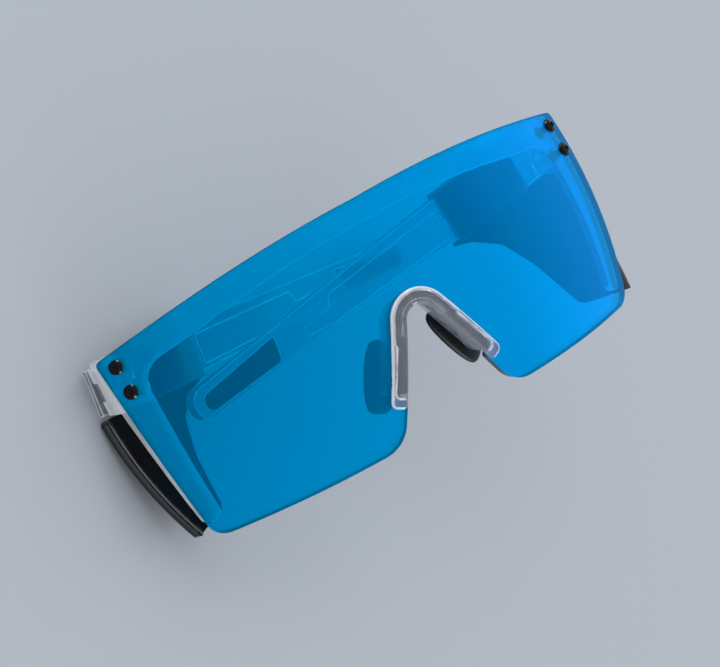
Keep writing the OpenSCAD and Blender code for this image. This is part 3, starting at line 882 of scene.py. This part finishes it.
class SUNGLASSES_OT_nosepiece(bpy.types.Operator):
    """Moulds the clear nosepiece and its rubber pads"""

    bl_idname = "sunglasses.nosepiece"
    bl_label = "Nosepiece and pads"

    def execute(self, context):
        bm = bmesh.new()
        outline = closed(u_half(FLANGE_W, NOSE_L, LEG_OUT_R, LEG_IN_R), 8)
        core = closed(core_half(), 5)
        rim = outline + outline[:1]
        step = core + core[:1]
        nose_side = [leg_at(NOSE_L, 0)] + arch(0)[::-1]
        nose_side += [(-x, y) for x, y in reversed(nose_side)]
        groove = [leg_at(4, GROOVE)] + arch(GROOVE)[::-1]
        groove += [(-x, y) for x, y in reversed(groove)]

        def height(x, y):
            """The flange's front: a rounded rim, and a lower step along the core."""
            edge = quarter_round(way_to((x, y), rim), RIM_R)
            low = ease(way_to((x, y), step) / STEP_RUN) if inside((x, y), core) else 0.0
            return RIM_LOW + (FLANGE_T - RIM_LOW) * edge - STEP_DEEP * low

        r_out, r_in = LENS_R + FIT, LENS_R - LENS_T - FIT
        points, triangles = fill(outline, (), 0.35, (0.12, 0.3, 0.5, RIM_R))
        slab(
            points,
            triangles,
            lambda x, y: on_sphere(x, y, r_out + height(x, y)),
            lambda x, y: on_sphere(x, y, r_out),
            bm,
        )
        # The web between the flanges, and the rear flange
        for half, out, back in (
            (u_half(CORE_HI - 0.4, CORE_T - 1, 1.0, 0.6), r_out + SKIN, r_in - SKIN),
            (u_half(FLANGE_W - 0.4, CORE_T - 1, LEG_OUT_R, LEG_IN_R), r_in, r_in - FLANGE_T),
        ):
            points, triangles = fill(closed(half, 6), (), 1.5)
            slab(
                points,
                triangles,
                lambda x, y, r=out: on_sphere(x, y, r),
                lambda x, y, r=back: on_sphere(x, y, r),
                bm,
            )
        # The saddle: up the right leg, over the arch, and the same mirrored
        half = []
        for i in range(15):
            t = (CORE_T - 0.9) * (1 - i / 15)
            half.append(saddle_ring(leg_at(t, 0), NOSE_N, LEG_FLARE, 0.5))
        for i in range(10):
            a = NOSE_A + (math.pi / 2 - NOSE_A) * i / 10
            k = 1 - i / 10
            flare = ARCH_FLARE + (LEG_FLARE - ARCH_FLARE) * k
            half.append(saddle_ring(arch_at(a, 0), Vector((math.cos(a), math.sin(a))), flare, 0.5 * k))
        top = saddle_ring(arch_at(math.pi / 2, 0), Vector((0, 1)), ARCH_FLARE, 0.0)
        mirrored = [[(-x, y, z) for x, y, z in ring] for ring in reversed(half)]
        loft(half + [top] + mirrored, bm)

        def painted_rim_highlight(co):
            """Painted highlight: strong along the front flange's rim and step, less so along the nose, faint on
            what lies behind.
            """
            if (co - CENTRE).length <= LENS_R:
                return BEHIND
            at_rim = bell(max(0.0, way_to(co.xy, rim) - RIM_LINE[0]) / RIM_LINE[1])
            at_step = bell((way_to(co.xy, step) - STEP_LINE[0]) / STEP_LINE[1])
            at_groove = bell((way_to(co.xy, groove) - GROOVE_LINE[0]) / GROOVE_LINE[1])
            at_nose = 0.25 if way_to(co.xy, nose_side) < RIM_R else 1
            return max(at_rim, 0.8 * at_step) * at_nose + 0.35 * at_groove

        paint_highlights(bm, painted_rim_highlight)
        piece(
            "clear_nosepiece",
            bm,
            soft_clear_nosepiece(),
            FRONT,
            lens_frame(),
            sharp=50,
            replaces=("nose_bridge",),
        )

        for side in SIDES:
            rings = []
            for i in range(25):
                a = math.pi * i / 24
                k = max(0.3, math.sin(a) ** 0.5)
                rings.append(pad_ring(PAD_MID - 0.5 * PAD_L * math.cos(a) * 0.995, k))
            piece(
                "rubber_pad_" + side,
                loft(rings),
                soft_rubber(),
                FRONT,
                side_frame(side),
                sharp=70,
                replaces=("nose_pad_" + side,),
            )
        return {"FINISHED"}


def button_head_screw():
    """A button head screw with a hexagon socket, its seat at the origin and its head towards +Z. The head's rim
    is rounded 0.3 mm high, and the socket has a 0.2 mm chamfer."""

    def ring(r, z, hexagon=0.0):
        """A ring of radius r at the height z, from round at hexagon 0 to a full hexagon at 1."""
        out = []
        for i in range(36):
            a = math.pi * i / 18
            k = math.cos(math.pi / 6) / math.cos(a % (math.pi / 3) - math.pi / 6)
            out.append(Vector((math.cos(a), math.sin(a), 0)) * r * (1 + hexagon * (k - 1)) + Vector((0, 0, z)))
        return out

    def crown(r):
        """Height of the head's rounded top at the radius r."""
        return HEAD_H - bulge + math.sqrt(bulge**2 - r**2)

    rise = HEAD_H - 0.3
    bulge = (HEAD_R**2 + rise**2) / (2 * rise)
    crown_r, chamfer_r = HEAD_R - 0.06, SOCKET_R + 0.22
    face, floor = crown(chamfer_r), HEAD_H - SOCKET_H
    return loft(
        [
            ring(SHANK_R - 0.2, -SHANK_L),
            ring(SHANK_R, -SHANK_L + 0.2),
            ring(SHANK_R, 0),
            ring(HEAD_R - 0.12, 0),
            ring(HEAD_R - 0.02, 0.08),
            ring(HEAD_R, 0.2),
            ring(HEAD_R - 0.01, 0.32),
            *(ring(r, crown(r)) for r in (crown_r - (crown_r - chamfer_r) * i / 7 for i in range(1, 8))),
            ring(SOCKET_R + 0.12, face - 0.01, 0.3),
            ring(SOCKET_R + 0.02, face - 0.12, 1.0),
            ring(SOCKET_R, face - 0.2, 1.0),
            ring(SOCKET_R, floor, 1.0),
            ring(0.1, floor - 0.15),
        ]
    )


class SUNGLASSES_OT_screws(bpy.types.Operator):
    """Makes the lens screws, and finishes the inserts, hinge screws and nuts"""

    bl_idname = "sunglasses.screws"
    bl_label = "Screws, inserts and nuts"

    def execute(self, context):
        for side, row, place in screw_places():
            node = "lens_screw_%s_%s" % (row, side)
            piece(
                "button_head_" + node,
                button_head_screw(),
                black_oxide_steel(),
                FRONT,
                lens_frame() @ place,
                sharp=35,
                replaces=(node,),
            )
        for side in SIDES:
            for row in ROWS:
                dress("insert_%s_%s" % (row, side), turned_brass())
            dress("hinge_screw_" + side, turned_steel())
            dress("hinge_nut_" + side, turned_steel())
        return {"FINISHED"}


class SUNGLASSES_OT_temples(bpy.types.Operator):
    """Finishes the temples and their rubber grips"""

    bl_idname = "sunglasses.temples"
    bl_label = "Temples and grips"

    def execute(self, context):
        wall = context.scene.sunglasses_colours.temple
        for side in SIDES:
            dress("temple_" + side, clear_nylon("clear_nylon_temple", wall, 0.8))
            dress("temple_grip_" + side, soft_rubber())
        return {"FINISHED"}


# The side shields, in a temple's own axes

SLEEVE_END = SLEEVE_S + SLEEVE_L
WING_TOP = ROOT_Y - SLEEVE_WALL
# Where the wing's front edge starts and ends, and how late it curves away
EDGE_TOP, EDGE_FOOT, EDGE_CURVE = (-4.1, WING_TOP), (2.4, -SHIELD_H), 2.2
# How far the sleeve's ends are rounded, and where along it, from its mouth and as shares of that
END_ROUND = 0.35
END_STEPS = ((0, 1.0), (0.15, 0.5), (0.5, 0.0), (SLEEVE_L - 0.5, 0.0), (SLEEVE_L - 0.15, 0.5), (SLEEVE_L, 1.0))


def front_edge():
    """The wing's front edge, from its top to its foot."""
    (x0, y0), (x1, y1) = EDGE_TOP, EDGE_FOOT
    return [(x0 + (x1 - x0) * (i / 16) ** EDGE_CURVE, y0 + (y1 - y0) * i / 16) for i in range(17)]


def wing_outline():
    """The wing's outline: its top under the sleeve, its rear edge, its foot and its front edge."""
    end, top, edge = SLEEVE_END, WING_TOP, front_edge()
    return rounded(
        [
            (SLEEVE_S, top + 0.6),
            (end, top + 0.6),
            (end + 1.3, top - 0.4, 0.4),
            (end - 4, top - 2.2),
            (end - 11.3, top - 7.8, 5),
            (end - 15.4, top - 17.6, 20),
            (end - 18, -SHIELD_H + 4.4, 3),
            (*edge[-1], 1.4),
            *edge[-2:0:-1],
            (*edge[0], 2.2),
            (SLEEVE_S, top),
        ],
        8,
    )


def wing_level(h, depth):
    """How far outboard the wing lies at the height h, this deep under its outer skin."""
    if h > -CURVE_H:
        return OUTER_O - depth
    r = SHIELD_R - depth
    across = SHIELD_R * math.sin(SHIELD_BEND) - CURVE_H - h
    return min(OUTER_O - depth, OUTER_O - SHIELD_R * math.cos(SHIELD_BEND) + math.sqrt(r * r - across * across))


class SUNGLASSES_OT_shields(bpy.types.Operator):
    """Moulds the slip-on side shields, each a sleeve with a curved wing that ends in a rolled lip"""

    bl_idname = "sunglasses.shields"
    bl_label = "Side shields"

    def execute(self, context):
        points, triangles = fill(wing_outline(), (), 0.8, (0.12, 0.4, 0.8, 1.1, 1.55, 2.1, 2.65))
        edge = front_edge()
        # For each point, how far the rounded edge draws both skins together, and how far the lip bulges inwards
        lip = {}
        for p in points:
            d = way_to(p, edge)
            full = quarter_round(d, LIP_W / 2)
            bulge = full * (1 - ease((d - LIP_W * 0.7) / (LIP_W * 0.5)))
            lip[p] = (SHIELD_T / 2 * (1 - full), LIP_T * bulge)

        def outer_skin(x, y):
            return (x, y, wing_level(y, 0) - lip[(x, y)][0])

        def inner_skin(x, y):
            return (x, y, wing_level(y, SHIELD_T) + lip[(x, y)][0] - lip[(x, y)][1])

        # The sleeve's outside and its bore, in section
        grow, deep = FIT + SLEEVE_WALL, OUTER_O - TEMPLE_T - FIT
        outside = [
            (TOP_H + grow, OUTER_O, 0.7),
            (ROOT_Y - grow, OUTER_O, 0.7),
            (ROOT_Y - grow, deep - SLEEVE_WALL, 0.7),
            (TOP_H + grow, deep - SLEEVE_WALL, 0.7),
        ]
        bore = [
            (TOP_H + FIT, OUTER_O - SHIELD_T, 0.3),
            (ROOT_Y - FIT, OUTER_O - SHIELD_T, 0.3),
            (ROOT_Y - FIT, deep, 0.3),
            (TOP_H + FIT, deep, 0.3),
        ]
        mid_y, mid_z = (TOP_H + ROOT_Y) / 2, (OUTER_O + deep - SLEEVE_WALL) / 2
        rings = []
        for along, share in END_STEPS:
            ring = []
            for y, z in rounded(outside, 6):
                y -= END_ROUND * share * math.copysign(1, y - mid_y)
                z -= END_ROUND * share * math.copysign(1, z - mid_z)
                ring.append((SLEEVE_S + along, y, z))
            rings.append(ring)
        for along in (SLEEVE_L, 0):
            rings.append([(SLEEVE_S + along, y, z) for y, z in rounded(bore, 6)])

        for side in SIDES:
            bm = slab(points, triangles, outer_skin, inner_skin)
            # The inner skin is satin, apart from the lip.
            for f in bm.faces:
                x, y, z = f.calc_center_median()
                f.material_index = int(z < wing_level(y, SHIELD_T / 2) and way_to((x, y), edge) > LIP_W)
            loft(rings, bm, tube=True)
            shield = piece(
                "black_side_shield_" + side,
                bm,
                gloss_black(),
                "temple_" + side,
                temple_frame(side),
                edge=0.00015,
                sharp=50,
                replaces=("side_shield_" + side,),
            )
            shield.data.materials.append(satin_black())
            no_glints(shield)
        return {"FINISHED"}


# Half the floor's width in metres, and the camera's lens and film width in millimetres
FLOOR_HALF, CAMERA_LENS, FILM_WIDTH = 20, 250, 36


class SUNGLASSES_OT_stage(bpy.types.Operator):
    """Makes the floor, the lights, the world and the camera"""

    bl_idname = "sunglasses.stage"
    bl_label = "Stage"

    def execute(self, context):
        scene = context.scene
        colours = scene.sunglasses_colours
        scene.view_settings.view_transform = "Standard"

        bm = bmesh.new()
        bmesh.ops.create_grid(bm, x_segments=1, y_segments=1, size=FLOOR_HALF)
        mesh = bpy.data.meshes.new("floor")
        bm.to_mesh(mesh)
        bm.free()
        floor = bpy.data.objects.new("floor", mesh)
        scene.collection.objects.link(floor)
        mat, fresh = new_material("painted_floor")
        if fresh:
            look = {"Base Color": colours.floor, "Roughness": 0.9, "Specular IOR Level": 0.1}
            finish_surface(mat.node_tree, look)
        mesh.materials.append(mat)

        world = bpy.data.worlds.new("studio")
        world.use_nodes = True
        tree = world.node_tree
        tree.nodes.clear()
        # The studio grows brighter from the lens's left end to its right, where a broad window stands.
        where = add(tree, "ShaderNodeTexCoord").outputs["Generated"]
        across = add(
            tree,
            "ShaderNodeVectorMath",
            settings={"operation": "DOT_PRODUCT"},
            inputs={1: (1.0, 0.0, 0.1)},
            links={0: where},
        ).outputs["Value"]
        level = add(
            tree,
            "ShaderNodeMapRange",
            inputs={"From Min": -0.9, "From Max": 0.9, "To Min": 0.75, "To Max": 1.35},
            links={"Value": across},
        )
        window = add(
            tree,
            "ShaderNodeMapRange",
            inputs={"From Min": 0.55, "From Max": 0.95, "To Min": 0.0, "To Max": 0.6},
            links={"Value": across},
        )
        total = add(tree, "ShaderNodeMath", links={0: level.outputs["Result"], 1: window.outputs["Result"]})
        sky = add(
            tree,
            "ShaderNodeBackground",
            inputs={"Color": linear("FFFFFF")},
            links={"Strength": total.outputs["Value"]},
        )
        add(tree, "ShaderNodeOutputWorld", links={"Surface": sky.outputs["Background"]})
        scene.world = world

        # Key and fill light the faces. The two low lamps only glint in rounded edges. Place and width in metres,
        # power in watts.
        for name, spot, width, power in (
            ("key", (-0.35, 0.5, 0.9), 0.5, 0.9),
            ("fill", (0.7, -0.3, 0.8), 0.7, 0.3),
            ("glint_near", (-0.3, -0.9, 0.35), 0.4, 10.0),
            ("glint_far", (0.25, 0.9, 0.35), 0.4, 10.0),
        ):
            glint = name.startswith("glint")
            light = bpy.data.lights.new(name, "AREA")
            light.shape = "DISK"
            light.size = width
            light.energy = power
            lamp = bpy.data.objects.new(name, light)
            lamp.location = spot
            lamp.rotation_mode = "QUATERNION"
            lamp.rotation_quaternion = Vector(spot).to_track_quat("Z", "Y")
            lamp.visible_glossy = glint
            lamp.visible_diffuse = not glint
            lamp.visible_transmission = False
            scene.collection.objects.link(lamp)

        view = scene.sunglasses_camera
        s, c = math.sin(view.turn), math.cos(view.turn)
        high, flat = math.sin(view.height), math.cos(view.height)
        back = Vector((-s * flat, high, c * flat))
        right = Vector((c, 0, s))
        up = back.cross(right)
        x_axis = right * math.cos(view.roll) - up * math.sin(view.roll)
        y_axis = right * math.sin(view.roll) + up * math.cos(view.roll)
        turn = lens_frame().to_3x3().normalized()
        aim = lens_frame() @ Vector((0, view.aim_y / MM, 0))
        spot = aim + turn @ (back * view.distance - x_axis * view.shift_x - y_axis * view.shift_y)
        axes = Matrix((turn @ x_axis, turn @ y_axis, turn @ back)).transposed()
        cam = bpy.data.cameras.new("photo_view")
        cam.lens = CAMERA_LENS
        cam.sensor_width = FILM_WIDTH
        cam.clip_start, cam.clip_end = 0.05, 60
        eye = bpy.data.objects.new("photo_view", cam)
        eye.matrix_world = Matrix.Translation(spot) @ axes.to_4x4()
        scene.collection.objects.link(eye)
        scene.camera = eye
        return {"FINISHED"}


class SUNGLASSES_PT_pieces(bpy.types.Panel):
    """Lists the sizes, the colours and the pieces"""

    bl_idname = "SUNGLASSES_PT_pieces"
    bl_label = "Sunglasses"
    bl_space_type = "VIEW_3D"
    bl_region_type = "UI"
    bl_category = "Sunglasses"

    def draw(self, context):
        for name in GROUPS:
            group = getattr(context.scene, name)
            for key in group.bl_rna.properties.keys():
                if key not in ("rna_type", "name"):
                    self.layout.prop(group, key)
        for step in STEPS:
            self.layout.operator(step.bl_idname)


STEPS = (
    SUNGLASSES_OT_stage,
    SUNGLASSES_OT_lens,
    SUNGLASSES_OT_front,
    SUNGLASSES_OT_nosepiece,
    SUNGLASSES_OT_screws,
    SUNGLASSES_OT_temples,
    SUNGLASSES_OT_shields,
)
GROUPS = {
    "sunglasses_sizes": SunglassesSizes,
    "sunglasses_colours": SunglassesColours,
    "sunglasses_camera": SunglassesCamera,
}


def register():
    for cls in (*GROUPS.values(), *STEPS, SUNGLASSES_PT_pieces):
        bpy.utils.register_class(cls)
    for key, cls in GROUPS.items():
        setattr(bpy.types.Scene, key, PointerProperty(type=cls))


def unregister():
    for key in GROUPS:
        delattr(bpy.types.Scene, key)
    for cls in (SUNGLASSES_PT_pieces, *reversed(STEPS), *GROUPS.values()):
        bpy.utils.unregister_class(cls)


def main():
    register()
    for step in STEPS:
        group, name = step.bl_idname.split(".")
        getattr(getattr(bpy.ops, group), name)()


if __name__ == "__main__":
    main()
